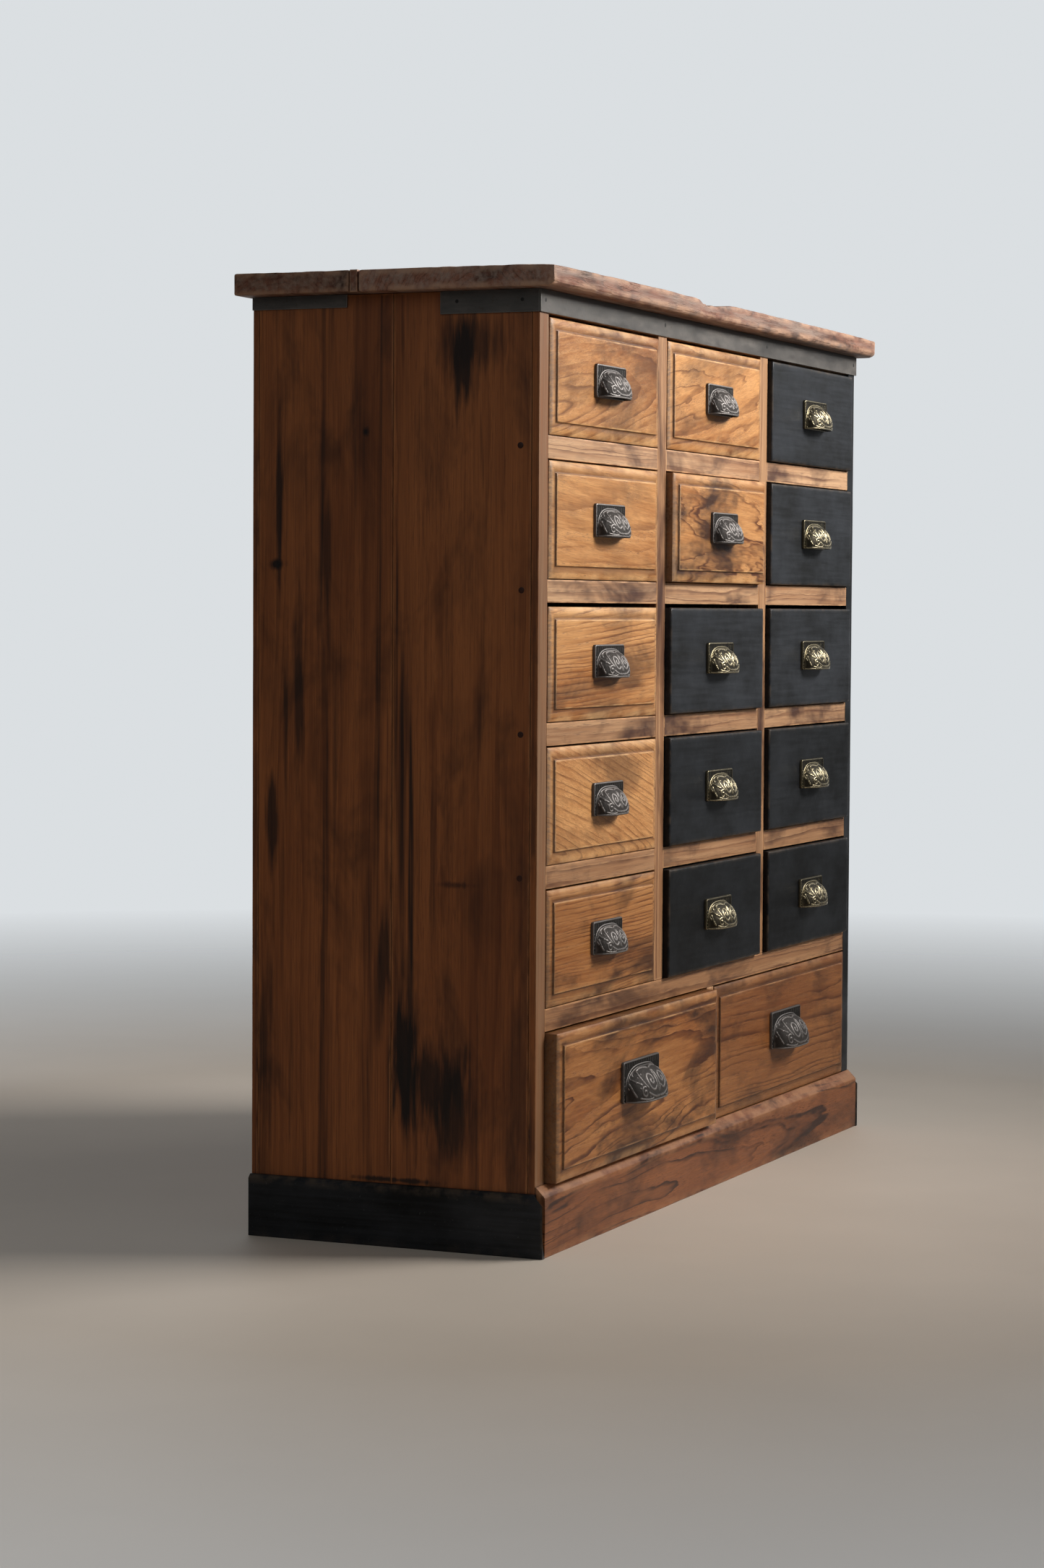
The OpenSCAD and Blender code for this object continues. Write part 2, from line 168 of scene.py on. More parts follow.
class Nodes:
    """A small way of writing a node tree: a call adds a node or two and returns the result."""

    def __init__(self, tree):
        self.tree = tree

    def put(self, socket, value):
        if isinstance(value, bpy.types.Node):
            value = value.outputs[0]
        if isinstance(value, bpy.types.NodeSocket):
            self.tree.links.new(value, socket)
        elif isinstance(value, tuple) and len(value) == 3 and socket.type == "RGBA":
            socket.default_value = value + (1,)
        else:
            socket.default_value = value

    def add(self, kind, *values, **named):
        node = self.tree.nodes.new(kind)
        for i, value in enumerate(values):
            self.put(node.inputs[i], value)
        for key, value in named.items():
            if key in node.inputs:
                self.put(node.inputs[key], value)
            else:
                setattr(node, key, value)
        return node

    def maths(self, operation, *values, clamp=False):
        node = self.add("ShaderNodeMath", operation=operation, use_clamp=clamp)
        for i, value in enumerate(values):
            self.put(node.inputs[i], value)
        return node.outputs[0]

    def times(self, *values, clamp=False):
        return self.maths("MULTIPLY", *values, clamp=clamp)

    def plus(self, *values):
        return self.maths("ADD", *values)

    def minus(self, *values):
        return self.maths("SUBTRACT", *values)

    def vector(self, operation, *values):
        node = self.add("ShaderNodeVectorMath", operation=operation)
        for i, value in enumerate(values):
            self.put(node.inputs[i], value)
        return node.outputs["Value" if operation in ("LENGTH", "DOT_PRODUCT") else "Vector"]

    def attribute(self, name, output="Vector"):
        return self.add("ShaderNodeAttribute", attribute_name=name).outputs[output]

    def split(self, vector):
        return self.add("ShaderNodeSeparateXYZ", vector).outputs

    def ramp(self, factor, *stops, smooth=False):
        node = self.add("ShaderNodeValToRGB", factor)
        node.color_ramp.interpolation = "EASE" if smooth else "LINEAR"
        points = node.color_ramp.elements
        while len(points) < len(stops):
            points.new(0.5)
        for point, (place, colour) in zip(points, stops):
            point.position = place
            point.color = (colour if isinstance(colour, tuple) else (colour,) * 3) + (1,)
        return node.outputs["Color"]

    def span(self, value, low, high, to_low=0.0, to_high=1.0, smooth=False):
        node = self.add("ShaderNodeMapRange", value)
        node.interpolation_type = "SMOOTHSTEP" if smooth else "LINEAR"
        for key, number in (("From Min", low), ("From Max", high), ("To Min", to_low),
                            ("To Max", to_high)):
            node.inputs[key].default_value = number
        return node.outputs[0]

    def blend(self, mode, factor, first, second):
        node = self.add("ShaderNodeMix", data_type="RGBA", blend_type=mode)
        self.put(node.inputs[0], factor)
        self.put(node.inputs[6], first)
        self.put(node.inputs[7], second)
        return node.outputs[2]

    def mix(self, factor, first, second):
        return self.blend("MIX", factor, first, second)

    def noise(self, vector, stretch, detail=3.0, rough=0.55, distort=0.0):
        """Noise of size one, after each axis of the vector is multiplied by its stretch."""
        place = self.vector("MULTIPLY", vector, stretch)
        return self.add("ShaderNodeTexNoise", Vector=place, Scale=1.0, Detail=detail,
                        Roughness=rough, Distortion=distort).outputs["Fac"]


class Look(Nodes):
    """A material: its colour, roughness and bumps are written as nodes, then finished."""

    def __init__(self, name):
        self.material = bpy.data.materials.new(name)
        self.material.use_nodes = True
        super().__init__(self.material.node_tree)
        self.shader = self.tree.nodes["Principled BSDF"]

    def finish(self, colour, roughness, height=None, depth=0.5 * MM, **sockets):
        self.put(self.shader.inputs["Base Color"], colour)
        self.put(self.shader.inputs["Roughness"], roughness)
        for key, value in sockets.items():
            self.shader.inputs[key.replace("_", " ")].default_value = value
        if height is not None:
            bump = self.add("ShaderNodeBump", Height=height)
            bump.inputs["Strength"].default_value = 1.0
            bump.inputs["Distance"].default_value = depth
            self.put(self.shader.inputs["Normal"], bump.outputs["Normal"])


# ---------------------------------------------------------------- mesh helpers

def outline_steps(length, round_r, step, cuts=()):
    """Places of the grid lines along one side of a block: close together at the rounded ends."""
    marks = [0, 0.3 * round_r, round_r, 2.6 * round_r]
    marks = [m for m in marks if m < length / 2 - 1e-6]
    marks += [length - m for m in marks]
    first, last = max(m for m in marks if m < length / 2), min(m for m in marks if m > length / 2)
    count = max(1, round((last - first) / step))
    marks += [first + (last - first) * i / count for i in range(1, count)]
    for cut in cuts:
        if min(abs(cut - m) for m in marks) > 2e-4:
            marks.append(cut)
    return sorted(marks)


BOARD_SHADE = (0.54, 0.80)            # a board's own shade; 0.67 leaves its colour as it is


class Build:
    """Collects boards and other pieces into one mesh with grain, wear and painted shade on its
    points.
    """

    def __init__(self):
        self.places, self.grain, self.wear, self.faces = [], [], [], []

    def block(self, low, high, along, seed, round_r=0.8 * MM, step=0.03, dent=0.25 * MM,
              cuts=((), (), ()), shape=None, pith=None, shades=BOARD_SHADE):
        """A board from corner to corner with rounded edges and a slightly uneven face."""
        low, high = Vector(low), Vector(high)
        size = high - low
        round_r = min(round_r, min(size) * 0.3)
        lines = [outline_steps(size[a], round_r, step, cuts[a]) for a in range(3)]
        rng = random.Random(seed)
        across, depth = self.other_axes(along, size)
        if pith is None:
            pith = (rng.uniform(-0.5, 1.5) * size[across], -rng.uniform(0.6, 2.2) * size[across])
        offset = rng.uniform(0, 60)
        shade = rng.uniform(*shades)
        index = {}

        def point(i, j, k):
            key = (i, j, k)
            if key not in index:
                p = Vector((lines[0][i], lines[1][j], lines[2][k]))
                core = Vector([min(max(p[a], round_r), size[a] - round_r) for a in range(3)])
                out = p - core
                edge = sum(1 for a in range(3)
                           if min(p[a], size[a] - p[a]) < 1.5 * round_r) >= 2
                if sum(1 for a in range(3) if abs(out[a]) > 1e-9) > 1:
                    p = core + out.normalized() * round_r
                wob = noise.noise(Vector((p + low) * 9) + Vector((offset, 0, 0)))
                fine = noise.noise(Vector((p + low) * 60) + Vector((0, offset, 0)))
                cut_in = dent * (0.5 + 0.5 * wob) + (dent * 1.2 * max(0, fine) if edge else 0)
                for a in range(3):
                    if min(lines[a][key[a]], size[a] - lines[a][key[a]]) < 1e-9:
                        p[a] += cut_in if p[a] < size[a] / 2 else -cut_in
                p = p + low
                if shape:
                    p = shape(p)
                index[key] = len(self.places)
                self.places.append(p)
                local = p - low
                self.grain.append((local[along] + offset, local[across] - pith[0],
                                   local[depth] - pith[1]))
                self.wear.append((1.0 if edge else 0.0, 0.0, shade))
            return index[key]

        n = [len(line) - 1 for line in lines]
        for a in range(3):
            b, c = (a + 1) % 3, (a + 2) % 3
            for end in (0, n[a]):
                for s in range(n[b]):
                    for t in range(n[c]):
                        corners = []
                        for ds, dt in ((0, 0), (1, 0), (1, 1), (0, 1)):
                            key = [0, 0, 0]
                            key[a], key[b], key[c] = end, s + ds, t + dt
                            corners.append(point(*key))
                        self.faces.append(corners if end else corners[::-1])

    @staticmethod
    def other_axes(along, size):
        rest = [a for a in range(3) if a != along]
        rest.sort(key=lambda a: -size[a])
        return rest

    def object(self, name, material, body, slot, replaces=(), smooth_angle=35):
        mesh = bpy.data.meshes.new(name)
        mesh.from_pydata([tuple(p) for p in self.places], [], self.faces)
        grain = mesh.attributes.new("grain", "FLOAT_VECTOR", "POINT")
        grain.data.foreach_set("vector", np.array(self.grain, np.float32).ravel())
        wear = mesh.attributes.new("wear", "FLOAT_VECTOR", "POINT")
        wear.data.foreach_set("vector", np.array(self.wear, np.float32).ravel())
        mesh.materials.append(material)
        mesh.validate()
        mesh.polygons.foreach_set("use_smooth", [True] * len(mesh.polygons))
        obj = bpy.data.objects.new(name, mesh)
        bpy.context.scene.collection.objects.link(obj)
        with bpy.context.temp_override(object=obj, active_object=obj, selected_objects=[obj],
                                       selected_editable_objects=[obj]):
            bpy.ops.object.shade_smooth_by_angle(angle=math.radians(smooth_angle))
        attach(obj, body)
        if replaces:
            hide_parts(*replaces)
        return obj


def solids(node):
    """The box of every separate solid in a CAD node, as (low corner, high corner)."""
    shape = bmesh.new()
    shape.from_mesh(frame["nodes"][node].data)
    bmesh.ops.remove_doubles(shape, verts=shape.verts, dist=1e-6)
    left, boxes = set(shape.verts), []
    while left:
        group, queue = set(), [left.pop()]
        while queue:
            vert = queue.pop()
            group.add(vert)
            for edge in vert.link_edges:
                other = edge.other_vert(vert)
                if other in left:
                    left.remove(other)
                    queue.append(other)
        places = [v.co for v in group]
        boxes.append((Vector([min(p[a] for p in places) for a in range(3)]),
                      Vector([max(p[a] for p in places) for a in range(3)])))
    shape.free()
    return sorted(boxes, key=lambda b: [round(x, 4) for x in b[0]])


def longest(low, high):
    size = high - low
    return max(range(3), key=lambda a: size[a])


class Sheets(Build):
    """A mesh made of rows of points, for shapes that aren't boards."""

    def point(self, place, grain=(0, 0, 0), wear=(0, 0, 0)):
        self.places.append(Vector(place))
        self.grain.append(tuple(grain))
        self.wear.append(tuple(wear))
        return len(self.places) - 1

    def quads(self, rows, closed=False, flip=False):
        for lower, upper in zip(rows, rows[1:]):
            count = len(lower)
            for i in range(count if closed else count - 1):
                j = (i + 1) % count
                face = [lower[i], lower[j], upper[j], upper[i]]
                face = [v for k, v in enumerate(face) if v != face[k - 1]]
                if len(face) > 2:
                    self.faces.append(face[::-1] if flip else face)

    def caps(self, rows):
        """The end faces of a closed sheet of rows."""
        for row in (rows[0][::-1], rows[-1][:]):
            if len(set(row)) > 2:
                self.faces.append(row)

    def lathe(self, place, axis, profile, turns=14, grain=(0, 0, 0), wear=(0, 0, 0)):
        """A turned piece: profile gives (distance along the axis, radius), from base to tip."""
        axis = Vector(axis).normalized()
        side = axis.orthogonal().normalized()
        other = axis.cross(side)
        rows = []
        for along, radius in profile:
            middle = Vector(place) + axis * along
            if radius < 1e-6:
                rows.append([self.point(middle, grain, wear)] * turns)
                continue
            angles = [2 * math.pi * t / turns for t in range(turns)]
            rows.append([self.point(middle + (side * math.cos(a) + other * math.sin(a)) * radius,
                                    grain, wear) for a in angles])
        self.quads(rows, closed=True)
        self.caps(rows)


# ---------------------------------------------------------------- wooden fronts

# For each wooden front: slope of the grain in degrees, height of its heart as a share of the
# front's height, depth of the heart in mm, taper, growth rings per metre, waviness, darkness
# and shade.
FIGURES = {
    "c1_r1": (9, 0.40, 26, 0.16, 110, 0.9, 0.45, 0.78),
    "c1_r2": (-3, 0.75, 60, 0.05, 90, 0.7, 0.25, 0.76),
    "c1_r3": (2, 1.25, 45, 0.03, 220, 0.5, 0.60, 0.84),
    "c1_r4": (-14, -0.15, 20, 0.14, 150, 0.6, 0.45, 0.86),
    "c1_r5": (1, 1.60, 60, 0.02, 240, 0.5, 0.80, 0.55),
    "c2_r1": (12, 0.60, 22, 0.10, 75, 2.2, 0.55, 0.78),
    "c2_r2": (-2, 0.45, 30, 0.05, 85, 2.8, 0.95, 0.70),
    "wide_left": (2, 0.55, 40, 0.05, 110, 1.9, 0.90, 0.50),
    "wide_right": (-1, 1.10, 80, 0.03, 110, 0.9, 0.60, 0.35),
}
PLAIN_FIGURE = (0, 0.5, 40, 0.05, 150, 0.6, 0.3, 0.5)
MOULDED_DROP = 4.0                   # mm, drop from the field to the edge of the moulding
# The moulding from the field outwards: inset from the edge, drop, wear and recess; the recess is
# painted shade, darkest in the hollow, with some dirt. A worn fillet steps down into a hollow, and a
# broad round runs out to the edge.
MOULDING = ((14.6, 0.0, 0.0, 0.0), (13.4, 0.03, 0.8, 0.0), (12.9, 0.20, 1.0, 0.0),
            (12.55, 0.60, 0.4, 0.25), (12.4, 1.20, 0.0, 0.8), (12.1, 1.75, 0.0, 1.0),
            (11.4, 2.05, 0.0, 0.95), (10.2, 1.98, 0.0, 0.75), (8.6, 1.82, 0.1, 0.50),
            (6.6, 1.85, 0.3, 0.22), (4.6, 2.10, 0.5, 0.05), (2.8, 2.55, 0.6, 0.0),
            (1.4, 3.10, 0.8, 0.0), (0.5, 3.60, 0.7, 0.1), (0.0, MOULDED_DROP, 0.3, 0.5))
MOULDED_BACK = ((0, 1.2, 0.1, 0.7), (0.35, 0.35, 0.3, 0.3), (1.2, 0, 0, 0.2))
# The plain rounded edge of the black slabs, in the same terms, and the edge of their back. Both
# backs give the height above the back in place of the drop.
SLAB = ((4.5, 0.0, 0.0, 0), (2.4, 0.07, 0.4, 0), (1.2, 0.38, 1.0, 0), (0.45, 1.0, 1.0, 0),
        (0.08, 1.8, 0.5, 0), (0, 2.8, 0.1, 0))
SLAB_BACK = ((0, 1.2, 0, 0), (0.35, 0.35, 0, 0), (1.2, 0, 0, 0))
FRONT_STEP = 8 * MM


def front_piece(name, material, slot_name, black, seed):
    """A drawer front: a field, its moulding or rounded edge in rings round it, and a back."""
    low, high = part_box(name + "_front")
    width, depth, height = high - low
    slope, heart, heart_depth, taper, rings, wavy, dark, shade = FIGURES.get(name, PLAIN_FIGURE)
    if black:
        shade = (low.z + high.z) / 2 / CAD_BOX[1][2]       # painted shade: lower fronts darker, upper paler, for a high light's sheen
    cos, sin = math.cos(math.radians(slope)), math.sin(math.radians(slope))
    rng = random.Random(seed)
    offset = rng.uniform(0, 60)
    phase = Vector((rng.uniform(0, 90), 0, rng.uniform(0, 90)))
    across_n, up_n = (max(8, round(side / FRONT_STEP)) for side in (width, height))
    build = Sheets()

    def add(i, j, inset, below, worn=0, recess=0):
        x = inset + (width - 2 * inset) * i / across_n
        z = inset + (height - 2 * inset) * j / up_n
        spot = Vector((x, below, z))
        chip = noise.noise(spot * 70 + phase)
        inward = 0
        if below < MOULDED_DROP * MM + 1e-6:
            inward = max(0, 0.22 * MM * (noise.noise(spot * 14 + phase) + 0.6))
            inward += 0 if black else worn * max(0, chip) * 0.5 * MM
        middle_x, heart_z = x - width / 2, z - height * heart
        along = middle_x * cos + heart_z * sin
        across = heart_z * cos - middle_x * sin
        if x < width * 0.01:
            x += 0.12 * MM * (1 + chip)
        return build.point((low.x + x, min(low.y + below + inward, high.y), low.z + z),
                           (along + offset, across, heart_depth * MM + below + taper * along),
                           (worn * (0.75 + 0.5 * chip), recess, shade))

    def table(inset, below, recess=0):
        return [[add(i, j, inset * MM, below, 0, recess) for j in range(up_n + 1)]
                for i in range(across_n + 1)]

    border = ([(i, 0) for i in range(across_n)] + [(across_n, j) for j in range(up_n)] +
              [(i, up_n) for i in range(across_n, 0, -1)] + [(0, j) for j in range(up_n, 0, -1)])
    edge, back_edge = (SLAB, SLAB_BACK) if black else (MOULDING, MOULDED_BACK)
    profile = list(edge) + [(inset, depth / MM - rise, worn, recess)
                            for inset, rise, worn, recess in back_edge]
    field = table(profile[0][0], 0)
    build.quads(field, flip=True)
    rows = [[field[i][j] for i, j in border]]
    for inset, below, worn, recess in profile[1:-1]:
        rows.append([add(i, j, inset * MM, below * MM, worn, recess) for i, j in border])
    back = table(profile[-1][0], depth, 0.2)
    build.quads(back)
    rows.append([back[i][j] for i, j in border])
    build.quads(rows, closed=True, flip=True)
    piece = build.object(name + ".front", material, name + "_drawer", slot_name,
                         (name + "_front",))
    figure = piece.data.attributes.new("figure", "FLOAT_VECTOR", "POINT")
    figure.data.foreach_set("vector", [rings / 100, wavy, dark] * len(build.places))


# ---------------------------------------------------------------- cup pulls

class Hood:
    """The outer form of a cup pull: a full bow along X, turned about X and drawn up in height."""
    POWER = 2.90                     # 2 is an ellipse, higher is squarer
    TALL = 1.22                      # how much higher than deep the turned form is

    def __init__(self, width, radius, back=5 * MM):
        self.half, self.radius, self.back = width / 2, radius, back

    def reach(self, x):
        share = min(1, abs(x) / self.half)
        return self.radius * (1 - share ** self.POWER) ** (1 / self.POWER)

    def stations(self, count):
        """Places along X, evenly spaced along the profile, out to where it meets the plate."""
        share = (self.back * 1.001 / self.radius) ** self.POWER
        last = self.half * (1 - share) ** (1 / self.POWER)
        fine, total, previous = [], 0, None
        for i in range(801):
            x = last * math.sin(math.pi / 2 * i / 800)
            here = Vector((x, self.reach(x)))
            total += (here - previous).length if previous else 0
            previous = here
            fine.append((total, x))
        places = []
        for i in range(count + 1):
            want = total * i / count
            places.append((want, min(fine, key=lambda f: abs(f[0] - want))[1]))
        return [(-s, -x) for s, x in places[:0:-1]] + places, total

    def height(self, far, angle):
        """Height over the lower edge of the plate; the hood's own centre is self.back above it."""
        up = far * math.sin(angle)
        return self.back + up * (self.TALL if up > 0 else 1)

    def meets(self, x):
        """Height at which the top of the hood meets the plate."""
        return self.back + self.TALL * math.sqrt(max(self.reach(x) ** 2 - self.back ** 2, 0))

    def angles(self, x):
        reach = max(self.reach(x), self.back * 1.0005)
        top = math.acos(min(1, self.back / reach))
        return reach, max(-math.asin(min(1, self.back / reach)), -top), top


def spiral(centre, size, turns, start, hand, count=46):
    points = []
    for i in range(count + 1):
        t = i / count
        radius = size * (1 - t) ** 0.9 + 0.9 * MM * t
        angle = start + hand * turns * 2 * math.pi * t
        points.append((centre[0] + radius * math.cos(angle),
                       centre[1] + radius * math.sin(angle)))
    return points


def bow(first, middle, last, count=16):
    return [tuple((1 - t) ** 2 * a + 2 * t * (1 - t) * b + t * t * c
                  for a, b, c in zip(first, middle, last))
            for t in (i / count for i in range(count + 1))]


def scroll_lines(half, tall):
    """Centre lines of the embossed scrolls, as (points, half width): x across, y up the hood."""
    lines = []
    thick, thin = 1.15 * MM, 0.95 * MM
    for hand in (-1, 1):
        def at(u, v):
            return (hand * u * half, v * tall)
        turn = 0 if hand > 0 else math.pi
        lines += [
            (spiral(at(0.24, 0.50), 0.25 * tall, 1.5, turn - hand * 2.4, hand), thick),
            (spiral(at(0.56, 0.24), 0.13 * tall, 1.2, turn + hand * 2.0, -hand, 30), thin),
            (bow(at(0.02, 0.12), at(0.20, 0.08), at(0.44, 0.22)), thick),
            (bow(at(0.44, 0.34), at(0.60, 0.50), at(0.50, 0.80)), thick),
            (bow(at(0.60, 0.42), at(0.80, 0.56), at(0.72, 0.78)), thin),
            (bow(at(0.04, 0.84), at(0.24, 0.96), at(0.46, 0.84)), thick),
            (bow(at(0.78, 0.16), at(0.86, 0.28), at(0.82, 0.50)), thin),
            (bow(at(0.03, 0.22), at(0.06, 0.48), at(0.02, 0.76)), thin),
            (bow(at(0.30, 0.10), at(0.42, 0.04), at(0.70, 0.12)), thin),
            (bow(at(0.52, 0.90), at(0.62, 0.84), at(0.66, 0.70)), thin),
            (bow(at(0.88, 0.34), at(0.90, 0.50), at(0.84, 0.66)), thin),
        ]
        lines += [([at(u, v)] * 2, thin) for u, v in
                  ((0.13, 0.90), (0.32, 0.89), (0.46, 0.70), (0.60, 0.62), (0.66, 0.34),
                   (0.42, 0.14), (0.56, 0.07), (0.12, 0.14), (0.70, 0.48), (0.78, 0.62))]
    return lines


def emboss(p, q, lines, height):
    """Height of the scrolls at a point: a round bead along every line."""
    best = 0
    for points, half_width in lines:
        for (ax, ay), (bx, by) in zip(points, points[1:]):
            if min(ax, bx) - half_width > p or max(ax, bx) + half_width < p:
                continue
            dx, dy = bx - ax, by - ay
            t = ((p - ax) * dx + (q - ay) * dy) / (dx * dx + dy * dy + 1e-12)
            t = min(1, max(0, t))
            d = math.hypot(p - ax - t * dx, q - ay - t * dy) / half_width
            if d < 1:
                best = max(best, (1 - d * d) ** 0.8)
    return best * height


PLATE_T = 3.0 * MM                   # thickness of a pull's plate, over its rim
HOOD_WALL = 2.0 * MM
RELIEF = 0.6 * MM                    # height of the embossing
# The rim of the plate: inset, height over its back, wear and recess.
RIM = ((0, 0, 0, 0.3), (0, 2.0, 0.1, 0.2), (0.3, 2.7, 0.7, 0), (0.9, 3.0, 0.7, 0),
       (1.6, 2.9, 0.4, 0.2), (2.0, 2.5, 0, 1.0), (3.0, 2.4, 0, 0.95))


def pull_plate(build, width, height):
    """The back plate, in rings from its back, round its edge, to the middle of its face."""
    def outline(inset, corner=3 * MM, steps=4):
        w, h, r = width / 2 - inset, height - 2 * inset, max(corner - inset, 0.4 * MM)
        corners = [(w - r, inset + r, -90), (w - r, inset + h - r, 0),
                   (r - w, inset + h - r, 90), (r - w, inset + r, 180)]
        turns = [(x, z, math.radians(start + 90 * step / steps))
                 for x, z, start in corners for step in range(steps + 1)]
        return [(x + r * math.cos(turn), z + r * math.sin(turn)) for x, z, turn in turns]

    rows = [[build.point((x, -out * MM, z), (x, 0, z), (worn, recess, 0))
             for x, z in outline(inset * MM)] for inset, out, worn, recess in RIM]
    build.quads(rows, closed=True)
    build.faces.append(rows[0][::-1])
    middle = build.point((0, -2.3 * MM, height / 2), (0, 0, 0), (0, 0.95, 0))
    for i, corner in enumerate(rows[-1]):
        build.faces.append([corner, rows[-1][(i + 1) % len(rows[-1])], middle])


def pull_hood(build, hood, stations, outer_rows=62, inner_rows=8):
    """The hood, from the plate down over the outside to the lip, and up again inside."""
    stations, half_len = hood.stations(stations)
    tall = hood.radius * (math.acos(hood.back / hood.radius) + math.asin(hood.back / hood.radius))
    lines = scroll_lines(half_len, tall)
    lip = 2.2 * MM
    columns = []
    for s, x in stations:
        reach, bottom, top = hood.angles(x)
        slope = (hood.reach(x + 1e-5) - hood.reach(x - 1e-5)) / 2e-5
        slope = max(-4, min(4, slope))
        lean = 1 / math.sqrt(1 + slope * slope)
        column = []
        for k in range(outer_rows + 1):
            angle = top + (bottom - top) * k / outer_rows
            q = (angle - bottom) * reach
            edge = min((top - angle) * reach, half_len - abs(s))
            show = max(0, min(1, (edge - 1.2 * MM) / (0.8 * MM)))
            lift = emboss(s, q, lines, RELIEF) * show
            if q < lip:
                lift = max(lift * 0.4, RELIEF * math.sin(math.pi * min(1, q / lip)))
            if 0.5 * MM < edge < 1.5 * MM:
                lift = max(lift, 0.5 * MM * math.sin(math.pi * (edge / MM - 0.5)))
            far = reach - RELIEF + lift
            proud = lift / RELIEF
            column.append(build.point(
                (x - slope * lean * (lift - RELIEF) * 0.5,
                 -(far * math.cos(angle) - hood.back + PLATE_T), hood.height(far, angle)),
                (s, q, 0), (proud, 0.75 * (1 - proud) * min(1, edge / (4 * MM)), 0)))
        inner = max(reach - HOOD_WALL - RELIEF, 0.5 * MM)
        shrink = (hood.half - HOOD_WALL) / hood.half
        for k in range(inner_rows + 1):
            angle = bottom + (top - bottom) * k / inner_rows
            out = inner * math.cos(angle) - hood.back + PLATE_T
            column.append(build.point((x * shrink, -max(out, PLATE_T * 0.7),
                                       max(hood.height(inner, angle), 0)), (s, 0, 0), (0, 1, 0)))
        columns.append(column)
    build.quads(columns, closed=True)
    build.caps(columns)
    # a smooth band where the hood meets the plate
    band = [(x, hood.meets(x) + 0.5 * MM) for _, x in stations[1:-1:2]
            if hood.reach(x) > hood.back * 1.02]
    tube(build, band, 1.0 * MM, 2.5 * MM)


def pull_beads(build, hood, width, height, ribs=15, beads=6):
    """Ribs under the upper rim of the plate, and a row of beads down each side."""
    over = height - 2.4 * MM
    for i in range(ribs):
        x = (i / (ribs - 1) - 0.5) * 2 * (width / 2 - 4.2 * MM)
        under = hood.meets(x) + 2.2 * MM
        under = max(under, over - 5.5 * MM) if under < over - 1.5 * MM else over - 2.2 * MM
        tube(build, [(x, over), (x * 0.985, under)], 0.62 * MM, 2.5 * MM)
    for side in (-1, 1):
        for i in range(beads):
            dome(build, (side * (width / 2 - 3.3 * MM), -2.4 * MM,
                         height * 0.10 + i * 0.105 * height), 0.75 * MM)


def pull_fixings(build, screws, height, front_t):
    """The bosses behind the plate, and the screws that hold them from inside the drawer."""
    for x in (-screws / 2, screws / 2):
        build.lathe((x, 0, height / 2), (0, 1, 0), ((0, 3.5 * MM), (6.4 * MM, 3.5 * MM),
                                                   (7 * MM, 2.9 * MM), (7 * MM, 0)))
        build.lathe((x, front_t, height / 2), (0, 1, 0),
                    ((-2 * MM, 2 * MM), (0, 2 * MM), (0, 4 * MM), (1.1 * MM, 3.9 * MM),
                     (2.1 * MM, 2.7 * MM), (2.5 * MM, 0.9 * MM), (1.7 * MM, 0.75 * MM),
                     (1.7 * MM, 0)), turns=20)


def pull_build(plate_w, plate_h, hood_w, hood_r, screws, front_t, stations):
    """A cup pull: x across from its middle, -y outwards from the back of the plate, z up."""
    build, hood = Sheets(), Hood(hood_w, hood_r)
    pull_plate(build, plate_w, plate_h)
    pull_hood(build, hood, stations)
    pull_beads(build, hood, plate_w, plate_h)
    pull_fixings(build, screws, plate_h, front_t)
    return build


def tube(build, line, radius, out):
    """A half-round rib lying on the plate along a line of (x, z) points."""
    rows = []
    for i, (x, z) in enumerate(line):
        ax, az = line[max(0, i - 1)]
        bx, bz = line[min(len(line) - 1, i + 1)]
        length = math.hypot(bx - ax, bz - az) or 1
        nx, nz = -(bz - az) / length, (bx - ax) / length
        thin = 0.45 if i in (0, len(line) - 1) else 1
        row = []
        for k in range(7):
            a = math.pi * k / 6
            side, up = math.cos(a) * radius * thin, math.sin(a) * radius * thin
            row.append(build.point((x + nx * side, -(out + up - 0.3 * MM), z + nz * side),
                                   (x, 0, z), (math.sin(a), 1 - math.sin(a), 0)))
        rows.append(row)
    build.quads(rows, closed=True)
    build.caps(rows)


def dome(build, place, radius):
    build.lathe(place, (0, -1, 0), ((-0.3 * MM, radius), (radius * 0.35, radius * 0.88),
                                    (radius * 0.7, radius * 0.6), (radius * 0.85, 0)),
                turns=9, wear=(1, 0, 0))


def place_pull(name, mesh):
    low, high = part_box(name + "_pull")
    piece = bpy.data.objects.new(name + ".pull", mesh)
    bpy.context.scene.collection.objects.link(piece)
    piece.location = ((low.x + high.x) / 2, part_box(name + "_front")[0].y, low.z)
    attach(piece, name + "_drawer")
    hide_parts(name + "_pull")


# ---------------------------------------------------------------- wood, paint and metal looks

def tone(red, green, blue):
    """A colour given as it looks on a screen, 0 to 255, as a linear colour."""
    return tuple(((c / 255 + 0.055) / 1.055) ** 2.4 if c > 10 else c / 255 / 12.92
                 for c in (red, green, blue))


